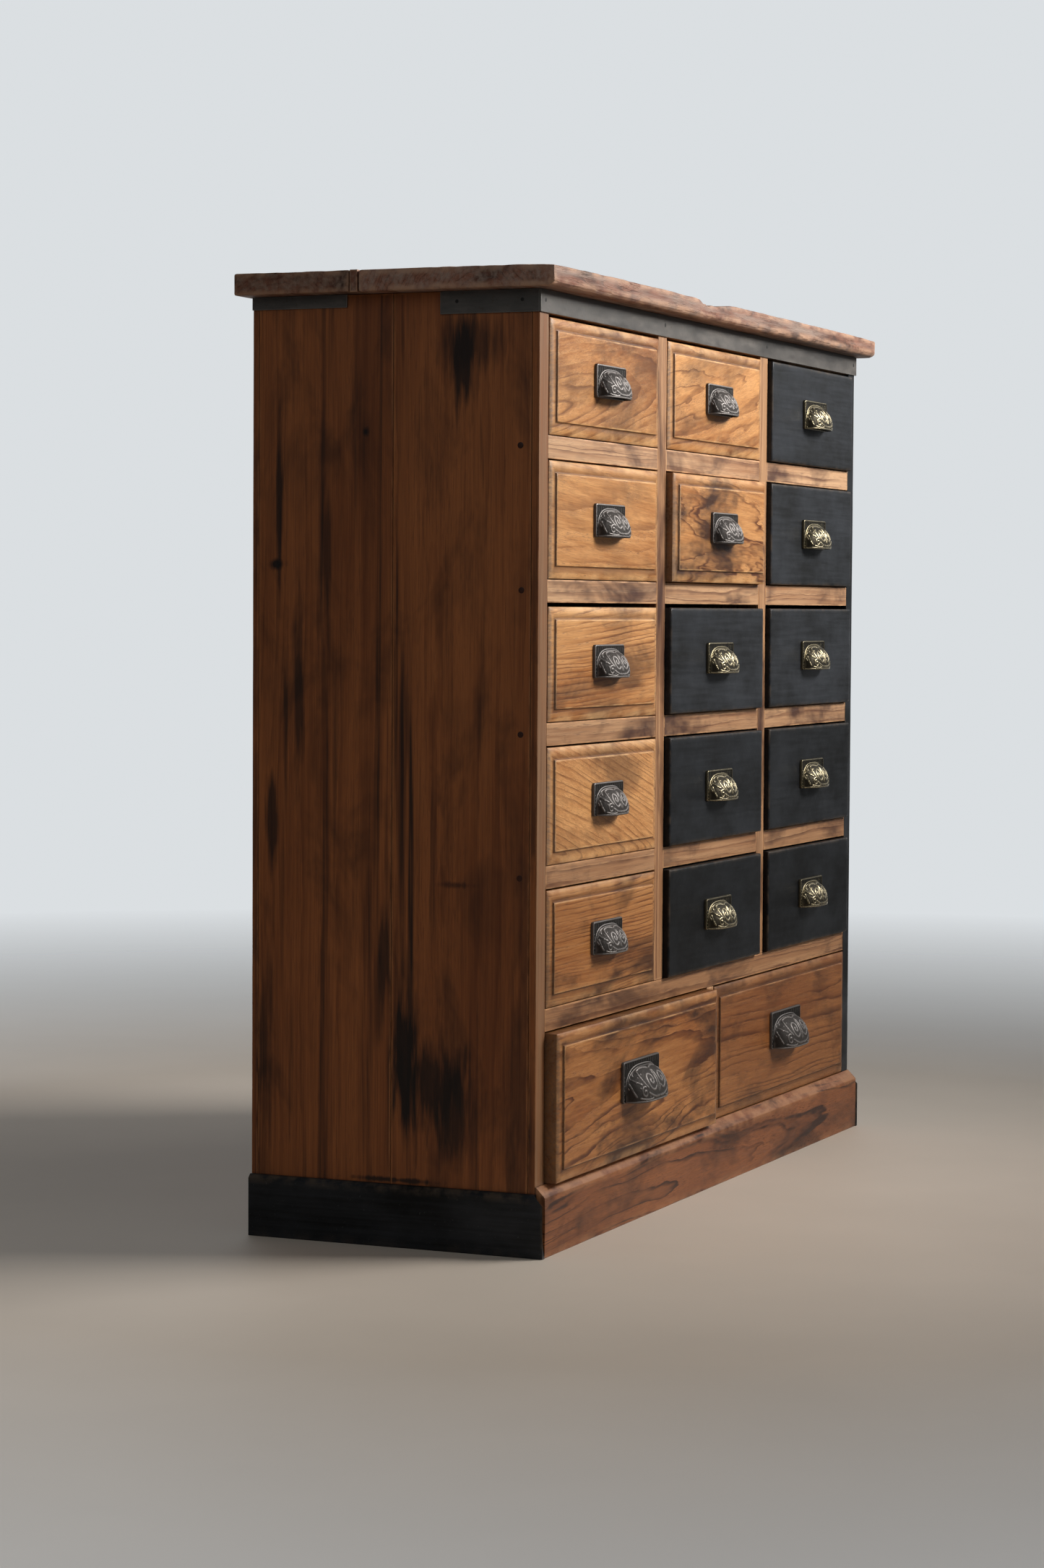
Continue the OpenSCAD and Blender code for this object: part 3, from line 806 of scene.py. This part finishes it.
def wood(name, dark, mid, light, stain, figure=(1.5, 0.8, 0.3), own_figure=False,
         pores=0.5, patch=0.5, edge=None, rough=(0.35, 0.6), streaks=0.0, grey=0.0,
         stains=(), painted_side_sheen=None, bare_front=None, bump=0.35):
    """Sawn wood. The grain attribute says where a point lies from the heart of its board.
    figure is the hundreds of growth rings per metre, their waviness and their darkness. The
    moulded fronts bring their own."""
    look = Look(name)
    times, plus, minus, span, mix = look.times, look.plus, look.minus, look.span, look.mix
    grain = look.attribute("grain")
    worn, sunk, shade = look.split(look.attribute("wear"))[:3]
    if own_figure:
        rings, wavy, darkness = look.split(look.attribute("figure"))[:3]
    else:
        rings, wavy, darkness = figure
    # growth rings: the distance from the heart, pushed about by slow and by fine noise
    _, across, depth = look.split(grain)[:3]
    slow = look.noise(grain, (1.8, 8, 8), 2.0)
    wander = look.noise(grain, (8, 46, 46), 3.0)
    side = plus(across, times(minus(slow, 0.5), times(wavy, 0.060)))
    flat = look.add("ShaderNodeCombineXYZ", 0.0, side, depth)
    far = plus(look.vector("LENGTH", flat), times(minus(wander, 0.5), times(wavy, 0.010)))
    uneven = look.add("ShaderNodeTexNoise", noise_dimensions="1D", W=times(far, 45.0),
                      Scale=1.0, Detail=2.0).outputs["Fac"]
    phase = look.maths("FRACT", plus(times(far, times(rings, 100)), times(uneven, 3.0)))
    broken = look.noise(grain, (7, 30, 30), 3.0, 0.65)
    late = times(span(phase, 0.66, 0.94), span(phase, 1.0, 0.95))
    late = times(late, span(broken, 0.36, 0.58), clamp=True)
    early = minus(1.0, span(phase, 0.0, 0.5))
    # fibres, pores and the slow changes of colour
    fibre = look.noise(grain, (12, 900, 900), 2.0, 0.6)
    coarse = look.noise(grain, (5, 230, 230), 3.0, 0.6)
    pore = times(span(look.noise(grain, (50, 2000, 2000), 1.0), 0.56, 0.70),
                 plus(times(early, 0.8), 0.2))
    blot = look.noise(grain, (6.5, 15, 15), 4.0, 0.62, 0.4)
    cloud = look.noise(grain, (2.2, 9, 9), 3.0)
    warm = minus(plus(times(coarse, 0.45), times(cloud, 0.65)), times(phase, 0.07))
    base = look.ramp(warm, (0.36, mid), (0.64, light))
    base = mix(times(late, plus(times(darkness, 0.85), 0.30), clamp=True), base, dark)
    base = mix(times(span(fibre, 0.42, 0.75), 0.34), base, dark)
    base = mix(times(pore, pores), base, stain)
    stained = times(plus(darkness, 0.22), patch)
    base = mix(times(span(blot, 0.49, 0.66), stained, clamp=True), base, stain)
    # stains: long streaks and the listed marks
    if streaks:
        long_marks = look.noise(grain, (1.5, 34, 34), 3.0, 0.62, 0.6)
        thin_marks = look.noise(grain, (3.0, 190, 190), 3.0, 0.6, 0.3)
        mark = plus(times(long_marks, 0.66), times(thin_marks, 0.34))
        base = mix(times(span(mark, 0.545, 0.67), streaks), base, stain)
    place = look.add("ShaderNodeTexCoord").outputs["Object"]
    for middle, half, strength in stains:
        gone = look.vector("DIVIDE", look.vector("SUBTRACT", place, middle), half)
        ragged = times(minus(look.noise(grain, (14, 150, 150), 3.0), 0.5), 1.9)
        ragged = plus(look.vector("LENGTH", gone), ragged)
        base = mix(times(span(ragged, 1.1, 0.45), strength), base, stain)
    # sunk places darkened towards the stain colour: painted shade with some dirt in the hollows of
    # the mouldings and round the backs of the fronts, and the dark colour of the nail plugs
    base = mix(times(sunk, 0.55), base, stain)
    # dust, rubbed edges, a painted sheen on the faces turned to the sides, and a bare front edge
    if grey:
        dust = look.noise(grain, (9, 120, 120), 4.0, 0.65)
        base = mix(times(span(dust, 0.40, 0.66), grey), base, tone(152, 134, 124))
    if edge:
        rub = times(worn, span(look.noise(grain, (30, 60, 60), 3.0), 0.38, 0.60))
        base = mix(times(rub, 0.85), base, edge)
    facing = look.split(look.add("ShaderNodeNewGeometry").outputs["Normal"])
    # painted reflection: faces turned along X are paled to grey with fine hatching, standing in for
    # the sheen of a bright window
    if painted_side_sheen:
        ends = span(look.maths("ABSOLUTE", facing[0]), 0.04, 0.32)
        hatch = look.noise(grain, (60, 420, 420), 2.0, 0.6)
        base = mix(times(ends, span(hatch, 0.35, 0.62, 0.35, 0.95)), base, painted_side_sheen)
    if bare_front:
        front = span(times(facing[1], -1.0), 0.6, 0.95)
        base = mix(times(front, span(coarse, 0.38, 0.62, 0.45, 1.0)), base, bare_front)
    # The shade runs from deep brown to lighter than the wood. A ramp holds no more than 1, so
    # this one holds half of each value, and the sum after it doubles the colour again.
    deep = look.ramp(shade, (0.22, (0.17, 0.11, 0.08)), (0.50, (0.415, 0.355, 0.29)),
                     (0.78, (0.56, 0.535, 0.50)), (1.0, 0.66))
    base = look.blend("MULTIPLY", 1.0, base, deep)
    base = look.blend("ADD", 1.0, base, base)
    shine = plus(plus(times(coarse, rough[1] - rough[0]), rough[0]), times(pore, 0.15))
    height = minus(minus(times(fibre, 0.30), times(pore, 0.40)), times(late, 0.15))
    look.finish(base, shine, plus(height, times(coarse, 0.5)), bump * MM,
                Specular_IOR_Level=0.27)
    return look.material


def black_paint():
    look = Look("black_paint")
    place = look.add("ShaderNodeTexCoord").outputs["Object"]
    worn, _, shade = look.split(look.attribute("wear"))[:3]
    grain = look.attribute("grain")
    cloud = look.noise(place, (9, 9, 14), 4.0, 0.6)
    brush = look.noise(grain, (7, 240, 240), 3.0, 0.6)
    speck = look.noise(place, (420, 420, 420), 2.0)
    base = look.ramp(look.plus(look.times(cloud, 0.7), look.times(brush, 0.3)),
                     (0.38, tone(21, 22, 23)), (0.64, tone(52, 54, 58)))
    # painted shade: on the black fronts the shade is their height, so the lower fronts are darker
    # and the upper ones paler, standing in for the sheen of a high light; on the other black boards
    # it is their own tone
    base = look.blend("MULTIPLY", 1.0, base, look.ramp(shade, (0.36, 0.32), (0.62, 1.0)))
    rub = look.times(worn, look.span(look.noise(place, (60, 60, 60), 3.0), 0.42, 0.62))
    base = look.mix(look.times(rub, 0.55), base, tone(92, 78, 64))
    base = look.mix(look.times(look.span(speck, 0.68, 0.76), 0.22), base, tone(104, 104, 100))
    shine = look.ramp(cloud, (0.34, 0.52), (0.66, 0.30))
    height = look.plus(look.times(brush, 0.5), look.times(speck, 0.35))
    look.finish(base, shine, height, 0.16 * MM, Specular_IOR_Level=0.15)
    return look.material


def steel():
    look = Look("dark_steel")
    place = look.add("ShaderNodeTexCoord").outputs["Object"]
    worn, sunk = look.split(look.attribute("wear"))[:2]
    cloud = look.noise(place, (11, 11, 40), 5.0, 0.65)
    speck = look.noise(place, (260, 260, 260), 3.0, 0.6)
    base = look.ramp(cloud, (0.30, tone(62, 60, 58)), (0.55, tone(88, 84, 80)),
                     (0.75, tone(112, 106, 100)))
    base = look.mix(look.times(look.span(speck, 0.60, 0.72), 0.35), base, tone(70, 50, 40))
    base = look.mix(look.times(worn, 0.35), base, tone(140, 136, 130))
    base = look.mix(look.times(sunk, 0.85), base, tone(16, 14, 13))
    look.finish(base, look.ramp(cloud, (0.3, 0.38), (0.7, 0.62)), speck, 0.1 * MM,
                Metallic=0.6)
    return look.material


def cast_metal(name, hollow, body, high, metallic, rough):
    """Cast metal, dark in the hollows of its embossing and rubbed bright on the high points."""
    look = Look(name)
    place = look.add("ShaderNodeTexCoord").outputs["Object"]
    proud, sunk = look.split(look.attribute("wear"))[:2]
    cloud = look.noise(place, (90, 90, 90), 4.0, 0.6)
    fine = look.noise(place, (700, 700, 700), 3.0, 0.65)
    base = look.ramp(cloud, (0.32, body), (0.72, tuple(1.25 * c for c in body)))
    base = look.mix(look.span(sunk, 0.35, 0.95), base, hollow)
    shine_up = look.times(look.span(proud, 0.30, 1.0), look.span(cloud, 0.2, 0.7))
    base = look.mix(shine_up, base, high)
    shine = look.plus(look.times(sunk, 0.3), look.span(fine, 0.3, 0.7, *rough))
    look.finish(base, shine, fine, 0.12 * MM, Metallic=metallic)
    return look.material


# ---------------------------------------------------------------- the pieces

def boards(node, along, material, body, slot_name, seed, step=0.03, round_r=0.9 * MM,
           dent=0.25 * MM, wear_and_falloff=None):
    """One worn board for every solid of a CAD node. wear_and_falloff gives the shades of the lowest
    and
    the highest board: the lower boards are darker, partly painted shade for the light falling off
    towards the floor and partly the paler wear of the upper ones."""
    build = Build()
    for i, (low, high) in enumerate(solids(node)):
        axis = longest(low, high) if along is None else along
        shades = BOARD_SHADE
        if wear_and_falloff:
            middle = wear_and_falloff[0] + (wear_and_falloff[1] - wear_and_falloff[0]) * (low.z + high.z) / 2 / CAD_BOX[1][2]
            shades = (middle - 0.05, middle + 0.05)
        build.block(low, high, axis, seed * 100 + i, round_r, step, dent, shades=shades)
    return build.object(node.replace("_box", ".box") if body != ROOT else node + ".boards",
                        material, body, slot_name, (node,))


def make_trim(material):
    """The metal rail under the top with its returns round the corners, and the back plates."""
    rail, *_ = sorted(solids("metal_trim"), key=lambda part: part[0].x - part[1].x)
    parts = [part for part in solids("metal_trim") if part[0] != rail[0]]
    low, high = rail
    thick = parts[0][1].x - parts[0][0].x
    parts += [(low, Vector((high.x, low.y + thick, high.z))),
              (Vector((low.x, low.y + thick, low.z)), Vector((low.x + thick, high.y, high.z))),
              (Vector((high.x - thick, low.y + thick, low.z)), high)]
    build = Build()
    for i, (low, high) in enumerate(parts):
        build.block(low, high, longest(low, high), 600 + i, 0.4 * MM, 0.02, 0.1 * MM)
    build.object("metal_trim.boards", material, ROOT, "dark_steel", ("metal_trim",))


# Dips of the front edge: distance along it, width and depth in mm.
TOP_DIPS = ((0.397, 0.011, 4.6), (0.415, 0.009, 5.6), (0.436, 0.014, 5.2), (0.462, 0.016, 2.6),
            (0.350, 0.030, 0.8), (-0.01, 0.05, 1.0), (1.00, 0.04, 0.8))
# For the front plank, the filler strip and the back plank: rounding in mm, place of the heart
# as a share of the width, and its depth.
TOP_BOARDS = ((3.0, 0.35, 0.03), (0.8, 0.5, 0.05), (2.4, 0.6, 0.045))
TOP_CUTS = ([0.415, 0.421, 0.43, 0.445, 0.455], [0.004, 0.008, 0.014], [0.004])   # finer grid
TOP_FALL = 0.034                     # how far back from the edge the dips reach


def top_shape(low, high):
    """The wavy front edge of the top: dips round a knot, a bowed edge, rounded lower corner."""
    span = high.x - low.x

    def shape(p):
        u = (p.x - low.x) / span
        back = p.y - low.y
        near = math.exp(-(back / TOP_FALL) ** 2)
        dip = sum(depth * MM * math.exp(-((p.x - low.x - 0.024 - at) / wide) ** 2)
                  for at, wide, depth in TOP_DIPS)
        ripple = noise.noise((p.x * 16, p.y * 30, 3.1)) + 0.5 * noise.noise((p.x * 55, 7, 0))
        rise = (p.z - low.z) / (high.z - low.z)
        q = p.copy()
        q.z -= rise * (dip * near + max(0, 0.35 + 0.35 * ripple) * MM)
        inward = (0.6 + 5.5 * u * u + 0.9 * ripple +
                  2.4 * math.exp(-((u - 0.42) / 0.018) ** 2)) * MM
        q.y += max(0, inward) * max(0, 1 - back / 0.12)
        if rise < 0.5:
            q.z += 3.4 * MM * math.exp(-(back / 0.004) ** 2)
        return q
    return shape


def make_top(material):
    build = Build()
    parts = solids("top_boards")
    parts.sort(key=lambda b: b[0].y)
    for i, (low, high) in enumerate(parts):
        front = i == 0
        round_r, heart, heart_depth = TOP_BOARDS[i]
        build.block(low, high, 0, 40 + i, round_r * MM, 0.007, 0.7 * MM,
                    cuts=TOP_CUTS if front else ((), (), ()),
                    shape=top_shape(low, high) if front else None,
                    pith=((high.y - low.y) * heart, -heart_depth))
    return build.object("top.boards", material, ROOT, "top_wood", ("top_boards",), 50)


PLINTH_BEVEL = 10 * MM


def make_plinth_front(material, count=130):
    low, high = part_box("plinth_front")
    t, tall = high.y - low.y, high.z - low.z
    foot = tall - PLINTH_BEVEL                   # height where the bevel starts
    outline = [(t, 0, 0), (1 * MM, 0, 0.2), (0.2 * MM, 1 * MM, 0.6)]
    outline += [(0, tall * k / 8, 0) for k in range(1, 7)]
    outline += [(0, foot - 1 * MM, 0.6), (0.35 * MM, foot + 0.3 * MM, 1),
                (PLINTH_BEVEL * 0.5, tall - PLINTH_BEVEL * 0.5, 1),
                (PLINTH_BEVEL - 1.2 * MM, tall - 1.0 * MM, 1),
                (PLINTH_BEVEL - 0.2 * MM, tall, 0.8), (t, tall, 0.2)]
    build, rows = Sheets(), []
    for i in range(count + 1):
        x = low.x + (high.x - low.x) * i / count
        row = []
        for y, z, worn in outline:
            dent = 0.35 * MM * max(0, noise.noise((x * 20, z * 40, 5)) + 0.3) if y < t else 0
            grain = (x + 11, z - tall * 0.25, 0.012 + y + 0.045 * (x + 0.2))
            row.append(build.point((x, low.y + min(t, y + dent), z), grain, (worn, 0, 0.46)))
        rows.append(row)
    build.quads(rows, closed=True, flip=True)
    build.faces += [rows[0][:], rows[-1][::-1]]
    build.object("plinth.front", material, ROOT, "plinth_wood", ("plinth_front",))


def make_plinth_sides(material):
    build = Sheets()
    for low, high in solids("plinth_sides"):
        outer, inner, hand = (high.x, low.x, -1) if low.x > 0 else (low.x, high.x, 1)
        top = high.z
        profile = [(inner, 0, 0), (outer + hand * 0.8 * MM, 0, 0), (outer, 1 * MM, 0.3)]
        profile += [(outer, top * k / 6, 0) for k in range(1, 6)]
        profile += [(outer, top - 3.9 * MM, 0.8), (outer + hand * 0.6 * MM, top - 3.2 * MM, 1),
                    (outer + hand * 3.1 * MM, top - 0.6 * MM, 1),
                    (outer + hand * 4.0 * MM, top, 0.6), (inner, top, 0)]
        rows = []
        for s in outline_steps(high.y - low.y, 1 * MM, 0.012):
            end, row = 1 if s < 1.5 * MM else 0, []
            for x, z, worn in profile:
                y = low.y + max(s, z - (top - PLINTH_BEVEL))   # the front end follows the bevel
                dent = 0.3 * MM * max(0, noise.noise((y * 25, z * 25, 1)) + 0.2)
                dent = hand * dent if abs(x - inner) > 1e-6 else 0
                row.append(build.point((x + dent, y, z), (y + 5, z, x), (max(worn, end), 0, 0.5)))
            rows.append(row)
        build.quads(rows, closed=True, flip=hand < 0)
        ends = [rows[0][:], rows[-1][::-1]]
        build.faces += ends if hand > 0 else [face[::-1] for face in ends]
    build.object("plinth.sides", material, ROOT, "black_paint", ("plinth_sides",))


def make_nails(material, plug_look):
    """Nail heads in the metal rail, and dark plugs over the nails of the left side panel."""
    low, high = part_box("metal_trim")
    panel_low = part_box("left_side_panel")[0]
    build = Sheets()
    z = (low.z + high.z) / 2 + 1 * MM
    for share in (0.012, 0.339, 0.666, 0.988):
        x = low.x + (high.x - low.x) * share
        build.lathe((x, low.y + 0.9 * MM, z), (0, -1, 0),
                    ((0, 3.4 * MM), (0.5 * MM, 3.3 * MM), (0.85 * MM, 2.3 * MM), (0.9 * MM, 0)),
                    turns=18, wear=(0, 1, 0))
    for x, hand in ((low.x, -1), (high.x, 1)):
        for y in (panel_low.y + 0.018, panel_low.y + 0.088):
            build.lathe((x - hand * 0.9 * MM, y, z), (hand, 0, 0),
                        ((0, 3.0 * MM), (0.6 * MM, 2.9 * MM), (0.88 * MM, 1.8 * MM),
                         (0.9 * MM, 0)), turns=16, wear=(0, 1, 0))
    build.object("nail_heads", material, ROOT, "dark_steel")
    plugs = Sheets()
    rng = random.Random(8)
    rows = [z_low for z_low in sorted({round(b[1].z, 4) for b in solids("rails_and_runners")
                                       if b[1].x - b[0].x < 0.35})][:5]
    for row_z in rows:
        spot = (panel_low.x, panel_low.y + 0.019 + rng.uniform(-1, 1) * MM,
                row_z - 11 * MM)
        plugs.lathe(spot, (-1, 0, 0), ((-1 * MM, 3.2 * MM), (0.05 * MM, 3.1 * MM),
                                       (0.25 * MM, 2.5 * MM), (0.3 * MM, 0)), turns=16,
                    grain=(rng.uniform(0, 9), 0, 0.05), wear=(0, 1, 0))
    plugs.object("nail_plugs", plug_look, ROOT, "stained_panel")


def panel_stains():
    """Dark marks of the left side panel: middle, half sizes and strength, in metres."""
    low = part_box("left_side_panel")[0]

    def mark(y, z, half_y, half_z, strength):
        return ((low.x, low.y + y, z), (0.05, half_y, half_z), strength)
    return (mark(0.141, 0.195, 0.018, 0.100, 0.95), mark(0.112, 0.165, 0.042, 0.050, 0.85),
            mark(0.085, 0.140, 0.028, 0.055, 0.75), mark(0.081, 0.885, 0.016, 0.055, 0.90),
            mark(0.072, 0.900, 0.040, 0.030, 0.65), mark(0.287, 0.683, 0.012, 0.007, 0.95),
            mark(0.284, 0.740, 0.004, 0.120, 0.80), mark(0.276, 0.520, 0.003, 0.090, 0.70),
            mark(0.164, 0.290, 0.010, 0.050, 0.70), mark(0.020, 0.160, 0.016, 0.120, 0.50),
            mark(0.188, 0.8145, 0.004, 0.006, 0.95), mark(0.086, 0.3655, 0.022, 0.004, 0.6),
            mark(0.262, 0.560, 0.006, 0.110, 0.75), mark(0.292, 0.420, 0.008, 0.050, 0.8),
            mark(0.230, 0.700, 0.006, 0.060, 0.6), mark(0.300, 0.200, 0.010, 0.110, 0.6),
            mark(0.155, 0.067, 0.050, 0.003, 0.9), mark(0.172, 0.250, 0.008, 0.060, 0.5))


# Plate width and height, hood width and radius, and distance between the screws, in mm, and
# the number of mesh stations over half the hood.
SMALL_PULL = ((80, 34, 72, 20, 56), 62)
LARGE_PULL = ((102, 43, 92, 26, 74), 74)


def make_drawers(honey, pale, paint, metals):
    """Fronts, boxes and pulls. Pulls of the same size and metal share one mesh."""
    meshes = {}
    slots = {part["node"]: part["material_slot"] for part in frame["record"]["subparts"]}
    names = [body[:-len("_drawer")] for body in frame["bodies"] if body != ROOT]
    for seed, name in enumerate(names):
        black = slots[name + "_front"] == "black_paint"
        metal = slots[name + "_pull"]
        front_piece(name, paint if black else honey, slots[name + "_front"], black, 200 + seed)
        boards(name + "_box", 1, pale, name + "_drawer", "box_wood", 20 + seed, 0.05,
               0.8 * MM, 0.15 * MM)
        sizes, stations = LARGE_PULL if name.startswith("wide") else SMALL_PULL
        if (metal, sizes) not in meshes:
            low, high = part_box(name + "_front")
            build = pull_build(*(size * MM for size in sizes), high.y - low.y, stations)
            first = build.object(name + ".pull", metals[metal], name + "_drawer", metal)
            meshes[metal, sizes] = first.data
            bpy.data.objects.remove(first)
        place_pull(name, meshes[metal, sizes])


def main():
    make_camera()
    make_studio()
    honey = wood("drawer_wood", tone(92, 49, 22), tone(158, 102, 54), tone(203, 151, 97),
                 tone(62, 36, 20), own_figure=True, pores=0.6, patch=0.85,
                 edge=tone(226, 184, 134), rough=(0.32, 0.50), painted_side_sheen=tone(134, 108, 88),
                 bump=0.22)
    frame_look = wood("frame_wood", tone(88, 54, 38), tone(150, 108, 76), tone(192, 154, 118),
                      tone(60, 34, 28), figure=(1.1, 0.9, 0.6), pores=0.6, patch=1.1,
                      edge=tone(206, 162, 122), rough=(0.36, 0.55), bump=0.28)
    panel = wood("stained_panel", tone(66, 33, 16), tone(118, 67, 34), tone(152, 92, 50),
                 tone(16, 11, 10), figure=(1.2, 0.5, 0.1), pores=0.35, patch=1.6,
                 edge=tone(150, 98, 60), rough=(0.36, 0.54), streaks=0.9,
                 stains=panel_stains(), bare_front=tone(136, 106, 80), bump=0.22)
    top = wood("top_wood", tone(62, 36, 29), tone(108, 70, 56), tone(142, 98, 80),
               tone(32, 20, 17), figure=(2.0, 1.1, 0.6), pores=0.8, patch=1.2,
               edge=tone(172, 138, 116), rough=(0.45, 0.75), grey=0.75, bump=0.6)
    plinth = wood("plinth_wood", tone(58, 30, 20), tone(138, 86, 54), tone(170, 114, 76),
                  tone(44, 24, 18), figure=(0.85, 1.2, 1.0), pores=0.7, patch=0.6,
                  edge=tone(196, 150, 114), rough=(0.34, 0.5), bump=0.22)
    pale = wood("box_wood", tone(140, 104, 66), tone(176, 138, 94), tone(200, 165, 120),
                tone(104, 76, 50), figure=(2.2, 0.5, 0.3), pores=0.4, patch=0.2,
                edge=tone(205, 172, 128), rough=(0.5, 0.7), bump=0.2)
    paint, dark_steel = black_paint(), steel()
    iron = cast_metal("old_iron", tone(38, 35, 33), tone(92, 87, 84), tone(132, 127, 124),
                      0.85, (0.40, 0.58))
    brass = cast_metal("aged_brass", tone(24, 22, 19), tone(84, 77, 62), tone(196, 182, 146),
                       0.92, (0.22, 0.38))
    make_top(top)
    boards("left_side_panel", 2, panel, ROOT, "stained_panel", 1, 0.02)
    boards("right_side_panel", 2, paint, ROOT, "black_paint", 2, 0.02)
    boards("back_panel", 2, panel, ROOT, "stained_panel", 3, 0.03)
    boards("upright_dividers", 2, frame_look, ROOT, "frame_wood", 4, 0.02)
    boards("rails_and_runners", None, frame_look, ROOT, "frame_wood", 5, 0.02, wear_and_falloff=(0.33, 1.06))
    make_trim(dark_steel)
    make_plinth_front(plinth)
    make_plinth_sides(paint)
    make_nails(dark_steel, panel)
    make_drawers(honey, pale, paint, {"old_iron": iron, "aged_brass": brass})


main()
